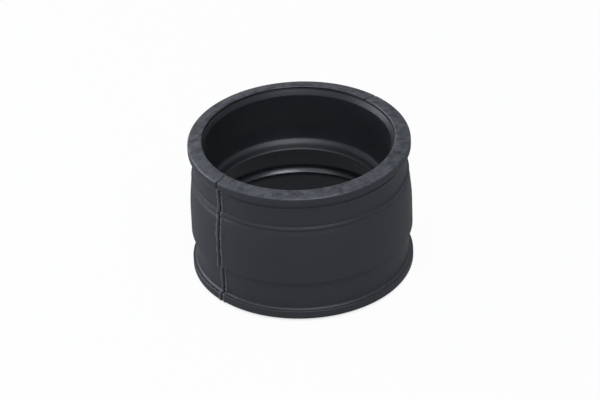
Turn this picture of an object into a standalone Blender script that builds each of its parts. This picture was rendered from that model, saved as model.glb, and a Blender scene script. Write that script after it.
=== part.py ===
"""Charge air hose: a short moulded rubber sleeve that joins two 80 mm pipe ends.

It is built the way it is moulded. Two cavity halves give the outside, with an end bead, a clamp seat, the
body, a second clamp seat and a second end bead, and they meet in an upright parting plane, where a little
rubber is squeezed out as flash. A core gives the inside: a lead-in, a socket for each pipe, and between them
a taper, the pipe stop, the throat, a pocket and a ledge. The halves and the flash are joined, and the core is
taken away from them.

Metres, +Z up, with the origin at the middle of the bottom end.
"""

import math

import bmesh
import bpy
from mathutils import Matrix

# Pipes and rubber
PIPE_DIAMETER = 0.0800
PIPE_CLEARANCE = 0.0002
RUBBER_WALL = 0.0078

# Outside, along the axis
UPPER_BEAD_HEIGHT = 0.0035
UPPER_SEAT_WIDTH = 0.0118
BODY_HEIGHT = 0.0274
LOWER_SEAT_WIDTH = 0.0143
LOWER_BEAD_HEIGHT = 0.0039
SEAT_DEPTH = 0.0018
BEAD_ROUND = 0.0007
BEAD_BACK_ROUND = 0.0004
BODY_ROUND = 0.0009
SEAT_FILLET = 0.0004
BODY_HOLLOW = 0.0008
BEAD_HOLLOW = 0.0014

# A rib along the body's top edge, a shallow groove below it, and the shoulder on which the body swells out
RIB_STANDS = 0.0008
RIB_WIDTH = 0.0011
RIB_ROUND = 0.0006
GROOVE_WIDTH = 0.0016
GROOVE_DEPTH = 0.0003
GROOVE_ROUND = 0.0004
SHOULDER_FALL = 0.0007
SHOULDER_HEIGHT = 0.0100
SHOULDER_ROUND = 0.0600

# End faces: a flat lip round the bore, then a face that falls away to the bead
LIP_WIDTH = 0.0015
END_FALL = 0.0011
SHUT_OFF_DEPTH = 0.0005
LEAD_IN_WIDTH = 0.0013
LEAD_IN_DEPTH = 0.0023
LEAD_IN_ROUND = 0.0010

# Inside, down from the top lip: a taper, the stop for the pipe's end and the throat, which each have how far
# they drop and how far they stand in, then the core's split, the pocket and the ledge
UPPER_SOCKET_DEPTH = 0.0203
TAPER_DROP = 0.0045
TAPER_STANDS = 0.0013
TAPER_HOLLOW = 0.0240
STOP_DROP = 0.0012
STOP_STANDS = 0.0015
STOP_HOLLOW = 0.0036
STOP_CREST = 0.0036
THROAT_DROP = 0.0028
THROAT_STANDS = 0.0010
SPLIT_STEP = 0.0004
POCKET_DEPTH = 0.0019
POCKET_ROOF_DROP = 0.0025
POCKET_ROUND = 0.0012
POCKET_HEIGHT = 0.0087
LEDGE_DROP = 0.0033
LEDGE_HOLLOW = 0.0045
LEDGE_ROUND = 0.0003
LEDGE_UNDERCUT = 0.0003
UNDERCUT_HEIGHT = 0.0009

# Mould parting
PARTING_AZIMUTH = math.radians(223.0)
FLASH_WIDTH = 0.0005
FLASH_HEIGHT = 0.0003
TOP_MISMATCH = 0.0002
SIDE_MISMATCH = 0.0002

# Facets
STEPS_ROUND = 64
STEPS_PER_FILLET = 3
STEPS_PER_LONG_ARC = 4
SIDE_IN_FILLETS = 0.9
SHARP_ANGLE = math.radians(35.0)
CORE_MARGIN = 0.0040
BLANK_MARGIN = 0.0040

# Sizes that follow from them
SOCKET_RADIUS = PIPE_DIAMETER / 2 + PIPE_CLEARANCE
OUTER_RADIUS = SOCKET_RADIUS + RUBBER_WALL
SEAT_RADIUS = OUTER_RADIUS - SEAT_DEPTH
RIB_RADIUS = SEAT_RADIUS + RIB_STANDS
SHOULDER_RADIUS = OUTER_RADIUS - SHOULDER_FALL
LIP_RADIUS = SOCKET_RADIUS + LEAD_IN_WIDTH
TAPER_RADIUS = SOCKET_RADIUS - TAPER_STANDS
STOP_RADIUS = TAPER_RADIUS - STOP_STANDS
THROAT_RADIUS = STOP_RADIUS - THROAT_STANDS
POCKET_RADIUS = SOCKET_RADIUS + POCKET_DEPTH
BANDS = (UPPER_BEAD_HEIGHT, UPPER_SEAT_WIDTH, BODY_HEIGHT, LOWER_SEAT_WIDTH, LOWER_BEAD_HEIGHT)
HEIGHT = sum(BANDS) + 2 * END_FALL


def filleted(corners):
    """The outline through these corners, each (radius, height, fillet, steps), with its corners rounded.

    A fillet is an arc that touches both sides of its corner. The two fillets of a side share it in
    proportion to their radii, and where a side is too short for them, both shrink.
    """
    outline = []
    for index, (x, z, fillet, steps) in enumerate(corners):
        if fillet == 0:
            outline.append((x, z))
            continue
        before, after = corners[index - 1], corners[index + 1]
        back = (before[0] - x, before[1] - z)
        ahead = (after[0] - x, after[1] - z)
        back_length, ahead_length = math.hypot(*back), math.hypot(*ahead)
        back = (back[0] / back_length, back[1] / back_length)
        ahead = (ahead[0] / ahead_length, ahead[1] / ahead_length)
        half_angle = math.acos(max(-1.0, min(1.0, back[0] * ahead[0] + back[1] * ahead[1]))) / 2
        back_room = SIDE_IN_FILLETS * back_length * fillet / (fillet + before[2])
        ahead_room = SIDE_IN_FILLETS * ahead_length * fillet / (fillet + after[2])
        reach = min(fillet / math.tan(half_angle), back_room, ahead_room)
        radius = reach * math.tan(half_angle)
        middle = (back[0] + ahead[0], back[1] + ahead[1])
        to_centre = radius / math.sin(half_angle) / math.hypot(*middle)
        centre = (x + middle[0] * to_centre, z + middle[1] * to_centre)
        start = math.atan2(z + back[1] * reach - centre[1], x + back[0] * reach - centre[0])
        end = math.atan2(z + ahead[1] * reach - centre[1], x + ahead[0] * reach - centre[0])
        turn = (end - start + math.pi) % (2 * math.pi) - math.pi
        for step in range(steps + 1):
            angle = start + turn * step / steps
            outline.append((centre[0] + radius * math.cos(angle), centre[1] + radius * math.sin(angle)))
    return outline


def outside_outline(grow=0.0, rise=0.0):
    """The outside from the top lip down to the bottom lip, grown outwards, with the top end raised by rise."""
    outer, seat = OUTER_RADIUS + grow, SEAT_RADIUS + grow
    rib, shoulder = RIB_RADIUS + grow, SHOULDER_RADIUS + grow
    lip = LIP_RADIUS + LIP_WIDTH
    levels = [HEIGHT - END_FALL]
    for band in BANDS:
        levels.append(levels[-1] - band)
    top, bead_base, body_top, body_base, bead_top, bottom = levels
    groove_top = body_top - RIB_WIDTH
    groove_base = groove_top - GROOVE_WIDTH
    small, least = STEPS_PER_FILLET, 1
    return filleted([
        (lip, HEIGHT + rise, 0, 0),
        (outer, top + rise, BEAD_ROUND, small),
        (outer, bead_base, BEAD_BACK_ROUND, small),
        (seat, bead_base, SEAT_FILLET, least),
        (seat, body_top, BODY_HOLLOW, small),
        (rib, body_top, RIB_ROUND, small),
        (rib, groove_top, GROOVE_ROUND, least),
        (rib - GROOVE_DEPTH, (groove_top + groove_base) / 2, GROOVE_ROUND, least),
        (shoulder, groove_base, GROOVE_ROUND, least),
        (outer, groove_base - SHOULDER_HEIGHT, SHOULDER_ROUND, least),
        (outer, body_base, BODY_ROUND, small),
        (seat, body_base, SEAT_FILLET, small),
        (seat, bead_top, BEAD_HOLLOW, small),
        (outer, bead_top, BEAD_BACK_ROUND, small),
        (outer, bottom, BEAD_ROUND, small),
        (lip, 0, 0, 0),
    ])


def core_outline():
    """The core from above the top end down to below the bottom end: its radius is the inside's."""
    small, long = STEPS_PER_FILLET, STEPS_PER_LONG_ARC
    chamfer_top, chamfer_base = SHUT_OFF_DEPTH, SHUT_OFF_DEPTH + LEAD_IN_DEPTH
    taper_top = HEIGHT - UPPER_SOCKET_DEPTH
    stop_top = taper_top - TAPER_DROP
    throat_top = stop_top - STOP_DROP
    split = throat_top - THROAT_DROP
    pocket_top = split - POCKET_ROOF_DROP
    pocket_base = pocket_top - POCKET_HEIGHT
    ledge = pocket_base - LEDGE_DROP
    return filleted([
        (LIP_RADIUS, HEIGHT + CORE_MARGIN, 0, 0),
        (LIP_RADIUS, HEIGHT - chamfer_top, 0, 0),
        (SOCKET_RADIUS, HEIGHT - chamfer_base, LEAD_IN_ROUND, small),
        (SOCKET_RADIUS, taper_top, TAPER_HOLLOW, small),
        (TAPER_RADIUS, stop_top, STOP_HOLLOW, small),
        (STOP_RADIUS, throat_top, STOP_CREST, small),
        (THROAT_RADIUS, split, 0, 0),
        (THROAT_RADIUS + SPLIT_STEP, split, 0, 0),
        (POCKET_RADIUS, pocket_top, POCKET_ROUND, small),
        (POCKET_RADIUS, pocket_base, LEDGE_HOLLOW, long),
        (SOCKET_RADIUS, ledge, LEDGE_ROUND, small),
        (SOCKET_RADIUS + LEDGE_UNDERCUT, ledge - LEDGE_UNDERCUT, 0, 0),
        (SOCKET_RADIUS, ledge - UNDERCUT_HEIGHT, 0, 0),
        (SOCKET_RADIUS, chamfer_base, LEAD_IN_ROUND, small),
        (LIP_RADIUS, chamfer_top, 0, 0),
        (LIP_RADIUS, -CORE_MARGIN, 0, 0),
    ])


def rubber():
    """Black filled rubber: dark grey with a blue cast, and a dull moulded skin."""
    material = bpy.data.materials.new("moulded_rubber")
    material.use_nodes = True
    surface = material.node_tree.nodes["Principled BSDF"]
    surface.inputs["Base Color"].default_value = (0.020, 0.022, 0.026, 1.0)
    surface.inputs["Roughness"].default_value = 0.42
    surface.inputs["Metallic"].default_value = 0.0
    return material


def new_object(name, mesh, collection, material):
    piece = bpy.data.objects.new(name, mesh)
    collection.objects.link(piece)
    if material:
        mesh.materials.append(material)
    mesh.shade_smooth()
    mesh.set_sharp_from_angle(angle=SHARP_ANGLE)
    return piece


def new_cutter(name, mesh, collection):
    cutter = new_object(name, mesh, collection, None)
    cutter.hide_render = True
    cutter.display_type = "WIRE"
    return cutter


def section_face(mesh, outline, inner_radius):
    """One face in the XZ plane between an outline and a straight line nearer to the axis."""
    top, bottom = outline[0][1], outline[-1][1]
    points = outline + [(inner_radius, bottom), (inner_radius, top)]
    return mesh.faces.new([mesh.verts.new((x, 0, z)) for x, z in points])


def finished_mesh(name, mesh):
    bmesh.ops.recalc_face_normals(mesh, faces=mesh.faces)
    data = bpy.data.meshes.new(name)
    mesh.to_mesh(data)
    mesh.free()
    return data


def cavity_half(name, rise):
    """Half a turn of the outside's section, as one half of the mould gives it."""
    half = bmesh.new()
    face = section_face(half, outside_outline(rise=rise), THROAT_RADIUS - BLANK_MARGIN)
    bmesh.ops.spin(
        half,
        geom=[face, *face.edges, *face.verts],
        axis=(0, 0, 1),
        cent=(0, 0, 0),
        angle=math.pi,
        steps=STEPS_ROUND // 2,
        use_duplicate=False,
    )
    return finished_mesh(name, half)


def flash_fin(name):
    """The thin fin of rubber that is squeezed out between the mould halves along one side."""
    fin = bmesh.new()
    outline = outside_outline(grow=FLASH_HEIGHT, rise=TOP_MISMATCH)
    face = section_face(fin, outline, THROAT_RADIUS - BLANK_MARGIN)
    bmesh.ops.translate(fin, verts=fin.verts, vec=(0, -FLASH_WIDTH / 2, 0))
    sides = bmesh.ops.extrude_face_region(fin, geom=[face], use_keep_orig=True)
    moved = [part for part in sides["geom"] if isinstance(part, bmesh.types.BMVert)]
    bmesh.ops.translate(fin, verts=moved, vec=(0, FLASH_WIDTH, 0))
    return finished_mesh(name, fin)


def core(collection):
    """The core, a turned solid that is longer than the sleeve."""
    outline = core_outline()
    outline = [(0.0, outline[0][1]), *outline, (0.0, outline[-1][1])]
    profile = bmesh.new()
    points = [profile.verts.new((x, 0, z)) for x, z in outline]
    for above, below in zip(points, points[1:]):
        profile.edges.new((above, below))
    data = bpy.data.meshes.new("core")
    profile.to_mesh(data)
    profile.free()
    cutter = new_cutter("core", data, collection)
    turn = cutter.modifiers.new("turn", "SCREW")
    turn.axis = "Z"
    turn.angle = 2 * math.pi
    turn.steps = turn.render_steps = STEPS_ROUND
    turn.use_merge_vertices = True
    turn.merge_threshold = 0.00001
    return cutter


def boolean(piece, name, operation, other):
    cut = piece.modifiers.new(name, "BOOLEAN")
    cut.operation = operation
    cut.solver = "EXACT"
    cut.object = other


def main():
    for leftover in list(bpy.data.objects):
        bpy.data.objects.remove(leftover, do_unlink=True)
    parts = bpy.data.collections.new("charge_air_hose")
    cutters = bpy.data.collections.new("cutters")
    for collection in (parts, cutters):
        bpy.context.scene.collection.children.link(collection)

    turned = Matrix.Rotation(PARTING_AZIMUTH, 4, "Z")
    about = Matrix.Rotation(math.pi, 4, "Z")
    forward = turned @ Matrix.Translation((SIDE_MISMATCH / 2, 0, 0))
    backward = turned @ Matrix.Translation((-SIDE_MISMATCH / 2, 0, 0))
    sleeve = new_object("rubber_sleeve", cavity_half("rubber_sleeve", 0.0), parts, rubber())
    sleeve.matrix_world = backward
    other_half = new_cutter("other_half", cavity_half("other_half", TOP_MISMATCH), cutters)
    other_half.matrix_world = forward @ about
    front_fin = new_cutter("front_fin", flash_fin("front_fin"), cutters)
    front_fin.matrix_world = forward
    back_fin = new_cutter("back_fin", flash_fin("back_fin"), cutters)
    back_fin.matrix_world = backward @ about

    for piece in (front_fin, back_fin, other_half):
        boolean(sleeve, "join_" + piece.name, "UNION", piece)
    boolean(sleeve, "take_out_core", "DIFFERENCE", core(cutters))


main()
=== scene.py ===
# %% [markdown]
# A moulded rubber sleeve for charge air
#
# This short, thick tube joins two pipe ends between a turbocharger and its cooler. It is one piece of
# black rubber, pressed into a steel mould that opens in two halves, round a core that leaves the bore.
# The solid model comes in as a fixed frame. This script gives it a finer surface, its mould marks, its
# rubber, and a plain studio.

import math

import bmesh
import bpy
from mathutils import Matrix, Vector, noise


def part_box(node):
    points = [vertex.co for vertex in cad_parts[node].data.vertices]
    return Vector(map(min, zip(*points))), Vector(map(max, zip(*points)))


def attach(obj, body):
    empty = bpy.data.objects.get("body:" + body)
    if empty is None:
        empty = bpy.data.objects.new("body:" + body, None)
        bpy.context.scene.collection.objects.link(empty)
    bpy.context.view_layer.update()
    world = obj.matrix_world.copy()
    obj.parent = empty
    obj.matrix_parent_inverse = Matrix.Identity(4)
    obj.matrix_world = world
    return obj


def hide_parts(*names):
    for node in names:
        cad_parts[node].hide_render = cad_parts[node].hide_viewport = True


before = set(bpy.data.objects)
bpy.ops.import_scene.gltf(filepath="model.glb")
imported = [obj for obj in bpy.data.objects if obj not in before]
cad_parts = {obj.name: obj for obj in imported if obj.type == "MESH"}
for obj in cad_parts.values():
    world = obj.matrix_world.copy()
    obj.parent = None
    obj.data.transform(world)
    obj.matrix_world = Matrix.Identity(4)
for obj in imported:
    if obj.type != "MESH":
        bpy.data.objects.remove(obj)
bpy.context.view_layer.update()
node_low, node_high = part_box("rubber_sleeve")
MM = 0.001
print("the solid sleeve is", [round((b - a) / MM, 1) for a, b in zip(node_low, node_high)], "mm")

# %% [markdown]
# The section of the sleeve
#
# Cut through the wall and the sleeve shows one closed outline, which is turned round the bore. It could
# be drawn as a curve by hand. Here its corners are named sizes, and one function rounds each corner
# with an arc, so a size can change without anything being redrawn. The main sizes are those of the
# solid model. The finer marks are only made here: the notch inside the lip, the step below the upper
# bead, the flash where the two cores met, and the softer edges of the beads, the shoulder and the
# ledge.

# %% Sizes of the outside, in millimetres
SOCKET_RADIUS = 40.2
OUTER_RADIUS = 48.0
SEAT_RADIUS = 46.2
UPPER_BEAD_HEIGHT = 3.5
UPPER_SEAT_WIDTH = 11.8
BODY_HEIGHT = 27.4
LOWER_SEAT_WIDTH = 14.3
LOWER_BEAD_HEIGHT = 3.9
END_FALL = 1.1
LIP_RADIUS = 41.5
LIP_WIDTH = 1.5
BANDS = (UPPER_BEAD_HEIGHT, UPPER_SEAT_WIDTH, BODY_HEIGHT, LOWER_SEAT_WIDTH, LOWER_BEAD_HEIGHT)
HEIGHT = sum(BANDS) + 2 * END_FALL
print("the section is", round(HEIGHT, 1), "mm tall")

# %% Sizes of its corners and small marks, in millimetres
LIP_ROUND = 1.0
BEAD_ROUND = 1.1
BEAD_BACK_ROUND = 0.4
BODY_ROUND = 0.9
SEAT_FILLET = 0.4
BODY_HOLLOW = 0.8
BEAD_HOLLOW = 1.4
RIB_STANDS = 0.8
RIB_WIDTH = 1.1
RIB_ROUND = 0.6
GROOVE_WIDTH = 1.6
GROOVE_DEPTH = 0.45
GROOVE_STEEP_SHARE = 0.35
GROOVE_ROUND = 0.4
SHOULDER_FALL = 0.85
SHOULDER_HEIGHT = 10.0
SHOULDER_ROUND = 60.0
SHOULDER_EDGE_ROUND = 3.0
SHOULDER_EDGE_DROP = 0.7
WITNESS_DEPTH = 1.9
WITNESS_HEIGHT = 0.3
WITNESS_FACE = 0.18
WITNESS_FOOT_ROUND = 0.05
WITNESS_EDGE_ROUND = 0.15
WITNESS_TAIL = 1.8
WITNESS_TAIL_ROUND = 0.4
OUTSIDE_STEP = 1.2

# %% [markdown]
# The bore
#
# The pipes are pushed in from both ends. Going down, there is a notch where the core shut off against
# the mould, a lead-in, the socket, and a taper that ends in the stop for the pipe's end. Below the
# throat is the line where the two cores met, with a little flash, and then a pocket and a ledge, which
# the lower core can only slip out of because rubber gives way. All of this could be cut with Booleans.
# As corners of the same section, it stays clean and quick to change.

# %% Sizes inside, in millimetres, going down the bore
NOTCH_DEPTH = 1.0
NOTCH_WIDTH = 0.95
NOTCH_ROOF = 0.25
NOTCH_HOOK = 0.55
NOTCH_EDGE_ROUND = 0.15
LEAD_IN_DEPTH = 2.3
LEAD_IN_ROUND = 0.9
UPPER_SOCKET_DEPTH = 20.3
TAPER_DROP = 4.5
TAPER_STANDS = 1.3
TAPER_HOLLOW = 24.0
STOP_DROP = 1.2
STOP_STANDS = 1.5
STOP_HOLLOW = 3.6
STOP_CREST = 3.6
THROAT_DROP = 2.8
THROAT_STANDS = 1.0
CORE_FLASH = 0.5
CORE_FLASH_DROP = 0.3
CORE_FLASH_FOOT_ROUND = 0.3
CORE_FLASH_EDGE_ROUND = 0.1
SPLIT_STEP = 0.4
POCKET_DEPTH = 1.9
POCKET_ROOF_DROP = 2.5
POCKET_ROUND = 1.2
POCKET_HEIGHT = 10.3
LEDGE_DROP = 1.6
LEDGE_HOLLOW = 5.0
LEDGE_ROUND = 0.2
LEDGE_UNDERCUT = 0.3
UNDERCUT_ROUND = 0.1
UNDERCUT_HEIGHT = 0.9
INSIDE_STEP = 2.5
print("the stop stands", TAPER_STANDS + STOP_STANDS, "mm into the bore")


# %% Round the corners of an outline
ARC_STEP = math.radians(12)
SIDE_IN_FILLETS = 0.9
SAME_POINT = 0.0001


def rounded(corners):
    """Corners are (radius, height, fillet). Two fillets share the side between them by their radii."""
    points = []
    for index, (x, z, fillet) in enumerate(corners):
        here = Vector((x, z))
        if fillet == 0:
            points.append(here)
            continue
        before, after = corners[index - 1], corners[index + 1]
        back = Vector(before[:2]) - here
        ahead = Vector(after[:2]) - here
        half = back.angle(ahead) / 2
        back_room = SIDE_IN_FILLETS * back.length * fillet / (fillet + before[2])
        ahead_room = SIDE_IN_FILLETS * ahead.length * fillet / (fillet + after[2])
        reach = min(fillet / math.tan(half), back_room, ahead_room)
        radius = reach * math.tan(half)
        centre = here + (back.normalized() + ahead.normalized()).normalized() * (radius / math.sin(half))
        start = here + back.normalized() * reach - centre
        turn = start.angle_signed(here + ahead.normalized() * reach - centre)
        steps = max(2, math.ceil(abs(turn) / ARC_STEP))
        for step in range(steps + 1):
            points.append(centre + Matrix.Rotation(-turn * step / steps, 2) @ start)
    return points


def spaced(points, longest):
    """The same line, with points added so that no step of it is longer than this."""
    line = [points[0]]
    for end in points[1:]:
        start = line[-1]
        if (end - start).length < SAME_POINT:
            continue
        steps = math.ceil((end - start).length / longest)
        line.extend(start.lerp(end, step / steps) for step in range(1, steps + 1))
    return line


# %% The outside, as the two halves of the mould leave it
def outside_corners():
    levels = [HEIGHT - END_FALL]
    for band in BANDS:
        levels.append(levels[-1] - band)
    top, bead_base, body_top, body_base, bead_top, bottom = levels
    groove_top = body_top - RIB_WIDTH
    groove_base = groove_top - GROOVE_WIDTH
    lip = LIP_RADIUS + LIP_WIDTH
    rib = SEAT_RADIUS + RIB_STANDS
    shoulder = OUTER_RADIUS - SHOULDER_FALL
    witness = bead_base - WITNESS_DEPTH
    return [
        (LIP_RADIUS, HEIGHT, 0),
        (lip, HEIGHT, LIP_ROUND),
        (OUTER_RADIUS, top, BEAD_ROUND),
        (OUTER_RADIUS, bead_base, BEAD_BACK_ROUND),
        (SEAT_RADIUS, bead_base, SEAT_FILLET),
        (SEAT_RADIUS, witness, WITNESS_FOOT_ROUND),
        (SEAT_RADIUS + WITNESS_HEIGHT, witness - WITNESS_FACE, WITNESS_EDGE_ROUND),
        (SEAT_RADIUS, witness - WITNESS_TAIL, WITNESS_TAIL_ROUND),
        (SEAT_RADIUS, body_top, BODY_HOLLOW),
        (rib, body_top, RIB_ROUND),
        (rib, groove_top, GROOVE_ROUND),
        (rib - GROOVE_DEPTH, groove_top - GROOVE_STEEP_SHARE * GROOVE_WIDTH, GROOVE_ROUND),
        (shoulder, groove_base - SHOULDER_EDGE_DROP, SHOULDER_EDGE_ROUND),
        (OUTER_RADIUS, groove_base - SHOULDER_HEIGHT, SHOULDER_ROUND),
        (OUTER_RADIUS, body_base, BODY_ROUND),
        (SEAT_RADIUS, body_base, SEAT_FILLET),
        (SEAT_RADIUS, bead_top, BEAD_HOLLOW),
        (OUTER_RADIUS, bead_top, BEAD_BACK_ROUND),
        (OUTER_RADIUS, bottom, BEAD_ROUND),
        (lip, 0, LIP_ROUND),
        (LIP_RADIUS, 0, 0),
    ]


outside_line = spaced(rounded(outside_corners()), OUTSIDE_STEP)
print("the section has", len(outside_line), "points outside")


# %% The inside, as the core leaves it
SPLIT_HEIGHT = HEIGHT - UPPER_SOCKET_DEPTH - TAPER_DROP - STOP_DROP - THROAT_DROP


def inside_corners():
    taper_top = HEIGHT - UPPER_SOCKET_DEPTH
    stop_top = taper_top - TAPER_DROP
    throat_top = stop_top - STOP_DROP
    split = SPLIT_HEIGHT
    pocket_top = split - POCKET_ROOF_DROP
    pocket_base = pocket_top - POCKET_HEIGHT
    ledge = pocket_base - LEDGE_DROP
    taper_end = SOCKET_RADIUS - TAPER_STANDS
    stop_end = taper_end - STOP_STANDS
    throat_end = stop_end - THROAT_STANDS
    downwards = [
        (LIP_RADIUS, HEIGHT, 0),
        (LIP_RADIUS + NOTCH_DEPTH, HEIGHT - NOTCH_ROOF, 0),
        (LIP_RADIUS + NOTCH_DEPTH, HEIGHT - NOTCH_WIDTH - NOTCH_HOOK, 0),
        (LIP_RADIUS, HEIGHT - NOTCH_WIDTH, NOTCH_EDGE_ROUND),
        (SOCKET_RADIUS, HEIGHT - NOTCH_WIDTH - LEAD_IN_DEPTH, LEAD_IN_ROUND),
        (SOCKET_RADIUS, taper_top, TAPER_HOLLOW),
        (taper_end, stop_top, STOP_HOLLOW),
        (stop_end, throat_top, STOP_CREST),
        (throat_end, split + 2 * CORE_FLASH_DROP, CORE_FLASH_FOOT_ROUND),
        (throat_end - CORE_FLASH, split + CORE_FLASH_DROP, CORE_FLASH_EDGE_ROUND),
        (throat_end - CORE_FLASH, split, 0),
        (throat_end + SPLIT_STEP, split, 0),
        (SOCKET_RADIUS + POCKET_DEPTH, pocket_top, POCKET_ROUND),
        (SOCKET_RADIUS + POCKET_DEPTH, pocket_base, LEDGE_HOLLOW),
        (SOCKET_RADIUS, ledge, LEDGE_ROUND),
        (SOCKET_RADIUS + LEDGE_UNDERCUT, ledge - LEDGE_UNDERCUT, UNDERCUT_ROUND),
        (SOCKET_RADIUS, ledge - UNDERCUT_HEIGHT, 0),
        (SOCKET_RADIUS, NOTCH_WIDTH + LEAD_IN_DEPTH, LEAD_IN_ROUND),
        (LIP_RADIUS, NOTCH_WIDTH, NOTCH_EDGE_ROUND),
        (LIP_RADIUS + NOTCH_DEPTH, NOTCH_WIDTH + NOTCH_HOOK, 0),
        (LIP_RADIUS + NOTCH_DEPTH, NOTCH_ROOF, 0),
        (LIP_RADIUS, 0, 0),
    ]
    return downwards[::-1]


inside_line = spaced(rounded(inside_corners()), INSIDE_STEP)
print("the section has", len(inside_line), "points inside")

# %% [markdown]
# The mould marks
#
# Where the two mould halves meet, the rubber tears a little as the sleeve comes out, and a thin groove
# with raised edges runs up the outside and over both ends. The halves never meet exactly, so one side
# stands a trifle higher. A texture could fake this, but the groove catches the light from every side,
# so it is real geometry. The halves meet about a millimetre beside the axis, and the core sat a little
# off centre and bent in the mould, so the wall isn't equally thick all round. The mesh also keeps two
# numbers at each point, for the rubber to use: how torn it is, and whether the core moulded it.

# %% The parting line, as a height and a tear across it
SEAM_AZIMUTH = math.radians(223)
PARTING_OFFSET = 1.1
GROOVE_CUT = 0.75
GROOVE_HALF_WIDTH = 0.3
WANDER = 0.35
WANDERS_PER_MM = 0.22
WANDER_ROW = 3.7
CUT_UNEVENNESS = 0.7
CUTS_PER_MM = 0.6
CUT_ROW = 9.1
TEAR_STANDS = 0.5
TEAR_HALF_WIDTH = 0.42
TEAR_OFFSET = 1.15
TEAR_UNEVENNESS = 1.6
TEARS_PER_MM = 0.45
TEAR_ROWS = ((-1, 1.3), (1, 5.9))


def bell(distance, width):
    return math.exp(-((distance / width) ** 2))


def uneven(along, per_mm, row):
    """A smooth random number from -1 to 1, which changes along the parting line and differs by row."""
    return noise.noise((along * per_mm, row, 0.0))


def seam_marks(distance, along, torn_share):
    """How far the surface stands out here, in millimetres, and how torn it is.

    The distance is measured across the parting line, and along is measured up it.
    """
    middle = WANDER * uneven(along, WANDERS_PER_MM, WANDER_ROW)
    ragged = 1 + CUT_UNEVENNESS * uneven(along, CUTS_PER_MM, CUT_ROW)
    cut = GROOVE_CUT * ragged * bell(distance - middle, GROOVE_HALF_WIDTH)
    torn = 0
    for side, row in TEAR_ROWS:
        share = torn_share * max(0, 1 + TEAR_UNEVENNESS * uneven(along, TEARS_PER_MM, row))
        torn += share * bell(distance - middle - side * TEAR_OFFSET, TEAR_HALF_WIDTH)
    return torn * TEAR_STANDS - cut, torn


# %% Directions round the bore, closer together near the parting line
COARSE_STEP = math.radians(1.6)
FINE_STEP = 0.1
FINE_REACH = 2.6


def azimuths():
    each_way = int(FINE_REACH / FINE_STEP)
    fine = [FINE_STEP * k / OUTER_RADIUS for k in range(-each_way, each_way + 1)]
    lean = PARTING_OFFSET / OUTER_RADIUS
    front, back = SEAM_AZIMUTH - lean, SEAM_AZIMUTH + math.pi + lean
    found = []
    for line, next_line in ((front, back), (back, front + 2 * math.pi)):
        found.extend(line + offset for offset in fine)
        gap = next_line - line - 2 * fine[-1]
        steps = round(gap / COARSE_STEP)
        found.extend(line + fine[-1] + gap * step / steps for step in range(1, steps))
    return found


directions = azimuths()
print("the sleeve is turned in", len(directions), "directions")


# %% The parting line on the sleeve, at the front and at the back
FAR_SHARE = 0.6
FADE_HEIGHT = 2.5
BACK_START = 200
ALONG_PER_RADIUS = 3


def seam_at(point, from_seam):
    """How far a point of the section stands out at this angle from the seam, and how torn it is there.

    The tears start a little below the upper bead, and all of it fades away towards the bottom edge.
    """
    front = from_seam < math.pi / 2
    across = (point.x * math.sin(from_seam) + PARTING_OFFSET) * (1 if front else -1)
    along = point.y + (0 if front else BACK_START) + ALONG_PER_RADIUS * (OUTER_RADIUS - point.x)
    below_bead = HEIGHT - END_FALL - UPPER_BEAD_HEIGHT - point.y
    stand, torn = seam_marks(across, along, min(max(below_bead, 0), 1))
    return stand * (1 if front else FAR_SHARE) * min(1, point.y / FADE_HEIGHT), torn


# %% [markdown]
# Turning the section
#
# Blender can turn a profile in one step, with its Screw modifier or a spin, and the solid model is made
# that way. Here each point is placed by itself, because the two mould halves are shifted, the core is
# off centre and bent, and the columns of faces lie closer together at the parting line than elsewhere.

# %% Where a point of the section goes
TOP_MISMATCH = 0.2
SIDE_MISMATCH = 0.2
MISMATCH_WIDTH = 0.3
NEAR_TOP_POWER = 8
CORE_OFFSET = Vector((-0.4, -0.55, 0))
CORE_BOW = 1.1
LIP_TOLERANCE = 0.01


def placed(point, outward, azimuth, moulded):
    """Where a point of the section goes at this azimuth, in metres, and how torn the rubber is there.

    Outward is where the surface faces there, and moulded is 1 outside and 0 where the core was.
    """
    from_seam = (azimuth - SEAM_AZIMUTH + math.pi / 2) % (2 * math.pi) - math.pi / 2
    stand, torn = seam_at(point, from_seam) if moulded else (0, 0)
    radius = point.x + stand * outward.x
    height = point.y + stand * outward.y
    across_plane = point.x * math.sin(azimuth - SEAM_AZIMUTH) + PARTING_OFFSET
    side = math.tanh(across_plane / MISMATCH_WIDTH) * moulded
    x = radius * math.cos(azimuth) - side * SIDE_MISMATCH / 2 * math.cos(SEAM_AZIMUTH)
    y = radius * math.sin(azimuth) - side * SIDE_MISMATCH / 2 * math.sin(SEAM_AZIMUTH)
    if moulded and height > HEIGHT / 2:
        share = (height - HEIGHT / 2) / (HEIGHT / 2)
        height += TOP_MISMATCH * (1 - side) / 2 * share ** NEAR_TOP_POWER
    place = Vector((x, y, height))
    if not moulded or point.x < LIP_RADIUS + LIP_TOLERANCE:
        place += CORE_OFFSET - Vector((CORE_BOW * math.sin(math.pi * point.y / HEIGHT), 0, 0))
    return place * MM, torn


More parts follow.
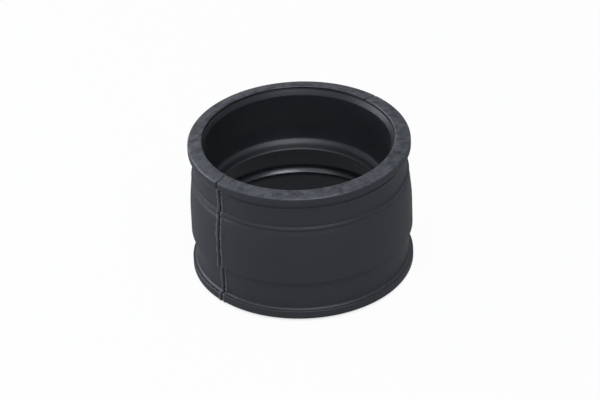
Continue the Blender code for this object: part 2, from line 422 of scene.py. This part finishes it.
# %% Turn the section into the sleeve
def turned(name):
    section = [(p, 1.0) for p in outside_line] + [(p, 0.0) for p in inside_line[1:-1]]
    sleeve = bmesh.new()
    torn_rubber = sleeve.verts.layers.float.new("torn")
    by_core = sleeve.verts.layers.float.new("by_core")
    rings = []
    count = len(section)
    for index, (point, moulded) in enumerate(section):
        tangent = section[(index + 1) % count][0] - section[index - 1][0]
        outward = Vector((-tangent.y, tangent.x)).normalized()
        rings.append([])
        for azimuth in directions:
            place, torn = placed(point, outward, azimuth, moulded)
            vertex = sleeve.verts.new(place)
            vertex[torn_rubber] = torn
            vertex[by_core] = 1 - moulded
            rings[-1].append(vertex)
    for ring, following in zip(rings, rings[1:] + rings[:1]):
        for column in range(len(directions)):
            after = (column + 1) % len(directions)
            sleeve.faces.new((ring[column], following[column], following[after], ring[after]))
    bmesh.ops.recalc_face_normals(sleeve, faces=sleeve.faces)
    mesh = bpy.data.meshes.new(name)
    sleeve.to_mesh(mesh)
    sleeve.free()
    mesh.shade_smooth()
    piece = bpy.data.objects.new(name, mesh)
    bpy.context.scene.collection.objects.link(piece)
    return piece


sleeve = turned("moulded_sleeve")
print("the sleeve has", len(sleeve.data.polygons), "faces")

# %% [markdown]
# The rubber
#
# Charge air sleeves are made of a synthetic rubber filled with carbon black. Its body is almost black,
# so most of what the eye sees is a soft reflection on a dull, finely grained skin, stronger where it is
# seen at a slant. One Principled shader does that, with a noise for the grain of the steel mould and
# another for slight stains. The bore is painted darker, as painted shade, and below the throat it is
# also smoother. The ends are mottled, because they were trimmed, and the torn rubber at the parting line
# is painted paler, as a painted highlight. The real grain is far finer than a pixel, so it is drawn as
# coarse as half a millimetre. Rubber has an IOR of about 1.5, and carbon black raises it a little.


# %% A node, with its settings and links
def linear(hex_colour):
    """An sRGB hex colour as the linear RGBA that Blender's sockets take."""
    parts = [int(hex_colour[i:i + 2], 16) / 255 for i in (1, 3, 5)]
    return [c / 12.92 if c <= 0.04045 else ((c + 0.055) / 1.055) ** 2.4 for c in parts] + [1.0]


def add_node(tree, kind, settings=(), inputs=()):
    """A new node. An input is a value, or the output socket that feeds it."""
    node = tree.nodes.new(kind)
    for name, value in dict(settings).items():
        setattr(node, name, value)
    for name, value in dict(inputs).items():
        if isinstance(value, bpy.types.NodeSocket):
            tree.links.new(value, node.inputs[name])
        else:
            node.inputs[name].default_value = value
    return node


def new_material(name):
    material = bpy.data.materials.new(name)
    material.use_nodes = True
    material.node_tree.nodes.clear()
    return material, material.node_tree


# %% Moulded rubber, filled with carbon black
RUBBER_DARK = "#242629"
RUBBER_LIGHT = "#2b2d31"
# Painted shade: the whole bore, notch included, is coloured darker than the outside skin.
BORE_PAINTED_SHADE = "#191d1f"
END_FACE_DARK = "#1f2022"
END_FACE_LIGHT = "#505256"
# Painted highlight: the torn edges of the parting line are coloured paler than the skin.
TORN_EDGE_PAINTED_HIGHLIGHT = "#5e6062"
GRAIN_MM = 0.5
GRAIN_DEPTH_MM = 0.05
GRAIN_STRENGTH = 0.35
SPECKLE_MM = 3.2
SPECKLE_LOW = 0.34
SPECKLE_HIGH = 0.66
STAIN_MM = 14.0
STAIN_LOW = 0.3
STAIN_HIGH = 0.7
SMOOTHEST_SKIN = 0.41
DULLEST_SKIN = 0.49
POLISHED = 0.24
POLISH_FADE = 1.0
END_FADE_LOW = 0.3
END_FADE_HIGH = 0.1
RUBBER_IOR = 1.62
PER_METRE = 1000.0


def moulded_rubber():
    material, tree = new_material("moulded_black_rubber")
    place = add_node(tree, "ShaderNodeTexCoord").outputs["Object"]
    stain = add_node(tree, "ShaderNodeTexNoise", {}, {
        "Vector": place, "Scale": PER_METRE / STAIN_MM, "Detail": 3.0, "Roughness": 0.6})
    grain = add_node(tree, "ShaderNodeTexNoise", {}, {
        "Vector": place, "Scale": PER_METRE / GRAIN_MM, "Detail": 2.0, "Roughness": 0.5})
    speckle = add_node(tree, "ShaderNodeTexNoise", {}, {
        "Vector": place, "Scale": PER_METRE / SPECKLE_MM, "Detail": 3.0, "Roughness": 0.7})
    patches = add_node(tree, "ShaderNodeMapRange", {}, {
        "Value": speckle.outputs["Fac"], "From Min": SPECKLE_LOW, "From Max": SPECKLE_HIGH})
    skin_colour = add_node(tree, "ShaderNodeMix", {"data_type": "RGBA"}, {
        0: stain.outputs["Fac"], 6: linear(RUBBER_DARK), 7: linear(RUBBER_LIGHT)})
    end_colour = add_node(tree, "ShaderNodeMix", {"data_type": "RGBA"}, {
        0: patches.outputs["Result"], 6: linear(END_FACE_DARK), 7: linear(END_FACE_LIGHT)})
    height = add_node(tree, "ShaderNodeSeparateXYZ", {}, {"Vector": place})
    above_middle = add_node(tree, "ShaderNodeMath", {"operation": "SUBTRACT"}, {
        0: height.outputs["Z"], 1: HEIGHT / 2 * MM})
    from_middle = add_node(tree, "ShaderNodeMath", {"operation": "ABSOLUTE"}, {0: above_middle.outputs[0]})
    on_end = add_node(tree, "ShaderNodeMapRange", {"interpolation_type": "SMOOTHSTEP"}, {
        "Value": from_middle.outputs[0], "From Min": (HEIGHT / 2 - END_FALL - END_FADE_LOW) * MM,
        "From Max": (HEIGHT / 2 - END_FALL + END_FADE_HIGH) * MM})
    inside = add_node(tree, "ShaderNodeAttribute", {"attribute_name": "by_core"})
    torn = add_node(tree, "ShaderNodeAttribute", {"attribute_name": "torn"})
    outside_colour = add_node(tree, "ShaderNodeMix", {"data_type": "RGBA"}, {
        0: on_end.outputs["Result"], 6: skin_colour.outputs[2], 7: end_colour.outputs[2]})
    # Painted shade: where the core was, the bore takes the darker colour.
    skin_and_painted_bore_shade = add_node(tree, "ShaderNodeMix", {"data_type": "RGBA"}, {
        0: inside.outputs["Fac"], 6: outside_colour.outputs[2], 7: linear(BORE_PAINTED_SHADE)})
    # Painted highlight: the torn edges take the paler colour.
    colour = add_node(tree, "ShaderNodeMix", {"data_type": "RGBA"}, {
        0: torn.outputs["Fac"], 6: skin_and_painted_bore_shade.outputs[2], 7: linear(TORN_EDGE_PAINTED_HIGHLIGHT)})
    deep = add_node(tree, "ShaderNodeMapRange", {}, {
        "Value": height.outputs["Z"], "From Min": SPLIT_HEIGHT * MM,
        "From Max": (SPLIT_HEIGHT - POLISH_FADE) * MM})
    polished = add_node(tree, "ShaderNodeMath", {"operation": "MULTIPLY"}, {
        0: deep.outputs["Result"], 1: inside.outputs["Fac"]})
    dull = add_node(tree, "ShaderNodeMapRange", {}, {
        "Value": stain.outputs["Fac"], "From Min": STAIN_LOW, "From Max": STAIN_HIGH,
        "To Min": SMOOTHEST_SKIN, "To Max": DULLEST_SKIN})
    dullness = add_node(tree, "ShaderNodeMapRange", {}, {
        "Value": polished.outputs[0], "To Min": dull.outputs["Result"], "To Max": POLISHED})
    bump = add_node(tree, "ShaderNodeBump", {}, {
        "Strength": GRAIN_STRENGTH, "Distance": GRAIN_DEPTH_MM * MM, "Height": grain.outputs["Fac"]})
    surface = add_node(tree, "ShaderNodeBsdfPrincipled", {}, {
        "Base Color": colour.outputs[2], "Roughness": dullness.outputs["Result"], "IOR": RUBBER_IOR,
        "Normal": bump.outputs["Normal"]})
    add_node(tree, "ShaderNodeOutputMaterial", {}, {"Surface": surface.outputs["BSDF"]})
    return material


sleeve.data.materials.append(moulded_rubber())
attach(sleeve, "root")
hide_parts("rubber_sleeve")
print("the sleeve is", sleeve.data.materials[0].name)

# %% [markdown]
# The studio
#
# The sleeve stands on a wide white table between soft boxes. The table looks white to the camera, keeps
# a faint shadow, and lights the sleeve from below. Inside the bore it lies in the sleeve's own shade, so
# there the camera sees no glow, and its glow in reflections is dimmed there as painted shade. Two wide
# soft boxes, above the sleeve and over the camera, light the ends and the throat, and a small bright one
# beside them draws the thin lines in the bore. One stands close on the left, and two weak ones behind,
# left and right, draw the far edges.

# %% White table
TABLE_RADIUS = 3.0
TABLE_COLOUR = "#e6e6e6"
GLOW_SHARE = 0.95
REFLECTED_OUTSIDE = 0.3
# Painted shade: reflections see the table glow dimmer inside the bore.
REFLECTED_IN_BORE = 0.24
DAYLIGHT = "#f0f5ff"


def white_table():
    disc = bmesh.new()
    bmesh.ops.create_circle(disc, cap_ends=True, segments=96, radius=TABLE_RADIUS)
    mesh = bpy.data.meshes.new("table")
    disc.to_mesh(mesh)
    disc.free()
    table = bpy.data.objects.new("table", mesh)
    bpy.context.scene.collection.objects.link(table)
    material, tree = new_material("white_laminate")
    rays = add_node(tree, "ShaderNodeLightPath")
    place = add_node(tree, "ShaderNodeTexCoord").outputs["Object"]
    reach = add_node(tree, "ShaderNodeVectorMath", {"operation": "LENGTH"}, {0: place})
    outside = add_node(tree, "ShaderNodeMapRange", {}, {
        "Value": reach.outputs["Value"], "From Min": SOCKET_RADIUS * MM, "From Max": OUTER_RADIUS * MM})
    camera_sees = add_node(tree, "ShaderNodeMath", {"operation": "MULTIPLY"}, {
        0: rays.outputs["Is Camera Ray"], 1: outside.outputs["Result"]})
    mirrored = add_node(tree, "ShaderNodeMath", {"operation": "MAXIMUM"}, {
        0: rays.outputs["Is Glossy Ray"], 1: rays.outputs["Is Transmission Ray"]})
    seen = add_node(tree, "ShaderNodeMath", {"operation": "MAXIMUM"}, {
        0: camera_sees.outputs[0], 1: mirrored.outputs[0]})
    share = add_node(tree, "ShaderNodeMath", {"operation": "MULTIPLY"}, {0: seen.outputs[0], 1: GLOW_SHARE})
    # Painted shade: the glow seen in reflections is dimmer inside the bore.
    reflected = add_node(tree, "ShaderNodeMapRange", {}, {
        "Value": outside.outputs["Result"], "To Min": REFLECTED_IN_BORE, "To Max": REFLECTED_OUTSIDE})
    strength = add_node(tree, "ShaderNodeMath", {"operation": "MAXIMUM"}, {
        0: rays.outputs["Is Camera Ray"], 1: reflected.outputs["Result"]})
    paint = add_node(tree, "ShaderNodeBsdfDiffuse", {}, {"Color": linear(TABLE_COLOUR)})
    tint = add_node(tree, "ShaderNodeMix", {"data_type": "RGBA"}, {
        0: rays.outputs["Is Camera Ray"], 6: linear(DAYLIGHT), 7: (1, 1, 1, 1)})
    glow = add_node(tree, "ShaderNodeEmission", {}, {
        "Color": tint.outputs[2], "Strength": strength.outputs[0]})
    skin = add_node(tree, "ShaderNodeMixShader", {}, {
        0: share.outputs[0], 1: paint.outputs["BSDF"], 2: glow.outputs["Emission"]})
    add_node(tree, "ShaderNodeOutputMaterial", {}, {"Surface": skin.outputs[0]})
    mesh.materials.append(material)


white_table()
print("the table is", 2 * TABLE_RADIUS, "m across")

# %% Dim even light all round, white only to the camera
ROOM_LIGHT = 0.36
world = bpy.data.worlds.new("white_room")
bpy.context.scene.world = world
world.use_nodes = True
world.node_tree.nodes.clear()
rays = add_node(world.node_tree, "ShaderNodeLightPath")
level = add_node(world.node_tree, "ShaderNodeMapRange", {}, {
    "Value": rays.outputs["Is Camera Ray"], "To Min": ROOM_LIGHT, "To Max": 1.0})
tint = add_node(world.node_tree, "ShaderNodeMix", {"data_type": "RGBA"}, {
    0: rays.outputs["Is Camera Ray"], 6: linear(DAYLIGHT), 7: (1, 1, 1, 1)})
room = add_node(world.node_tree, "ShaderNodeBackground", {}, {
    "Color": tint.outputs[2], "Strength": level.outputs["Result"]})
add_node(world.node_tree, "ShaderNodeOutputWorld", {}, {"Surface": room.outputs["Background"]})


# %% Soft boxes
def soft_box(name, azimuth, elevation, distance, size, brightness):
    """A square lamp that faces the sleeve. Azimuth 0 is on the camera's side, and 90 to the right."""
    light = bpy.data.lights.new(name, "AREA")
    light.shape = "SQUARE"
    light.size = size
    light.color = linear(DAYLIGHT)[:3]
    light.energy = brightness * math.pi * size ** 2
    lamp = bpy.data.objects.new(name, light)
    bpy.context.scene.collection.objects.link(lamp)
    a, e = math.radians(azimuth), math.radians(elevation)
    towards = Vector((math.cos(e) * math.sin(a), -math.cos(e) * math.cos(a), math.sin(e)))
    lamp.location = towards * distance + Vector((0, 0, HEIGHT / 2 * MM))
    lamp.rotation_euler = towards.to_track_quat("Z", "Y").to_euler()


soft_box("top_box", azimuth=0, elevation=86, distance=1.3, size=1.5, brightness=0.46)
soft_box("overhead_box", azimuth=-4, elevation=60, distance=1.3, size=1.5, brightness=0.85)
soft_box("key_box", azimuth=18, elevation=56, distance=1.4, size=0.5, brightness=5.2)
soft_box("left_box", azimuth=258, elevation=12, distance=0.6, size=0.44, brightness=3.1)
soft_box("back_left_box", azimuth=225, elevation=12, distance=1.4, size=1.2, brightness=0.75)
soft_box("back_right_box", azimuth=135, elevation=28, distance=1.4, size=1.5, brightness=0.1)
print("six soft boxes light the sleeve")

# %% [markdown]
# The camera
#
# The picture was taken from in front and above with a long lens, which keeps the far rim nearly as wide
# as the near one, and the camera leaned over by a hair. These angles and the distance were fitted to
# the sleeve's rims.

# %% Camera
ELEVATION = math.radians(32.97)
ROLL = math.radians(2.25)
DISTANCE = 1.718
LENS = 240
SENSOR_WIDTH = 36
NEAREST_SEEN = 0.1
MIDDLE_RIGHT = 0.455 * MM
MIDDLE_DOWN = 26.13 * MM

forward = Vector((0, math.cos(ELEVATION), -math.sin(ELEVATION)))
level_down = Vector((0, -math.sin(ELEVATION), -math.cos(ELEVATION)))
right = math.cos(ROLL) * Vector((1, 0, 0)) + math.sin(ROLL) * level_down
down = -math.sin(ROLL) * Vector((1, 0, 0)) + math.cos(ROLL) * level_down
rim_middle = Vector((0, 0, (HEIGHT - END_FALL) * MM))
lens = bpy.data.cameras.new("camera")
lens.lens = LENS
lens.sensor_width = SENSOR_WIDTH
lens.clip_start = NEAREST_SEEN
camera = bpy.data.objects.new("camera", lens)
bpy.context.scene.collection.objects.link(camera)
camera.matrix_world = Matrix.Translation(
    rim_middle + right * MIDDLE_RIGHT + down * MIDDLE_DOWN - forward * DISTANCE
) @ Matrix((right, -down, -forward)).transposed().to_4x4()
bpy.context.scene.camera = camera
bpy.context.scene.view_settings.view_transform = "Standard"
print("the camera stands", round(camera.location.length, 2), "m away")
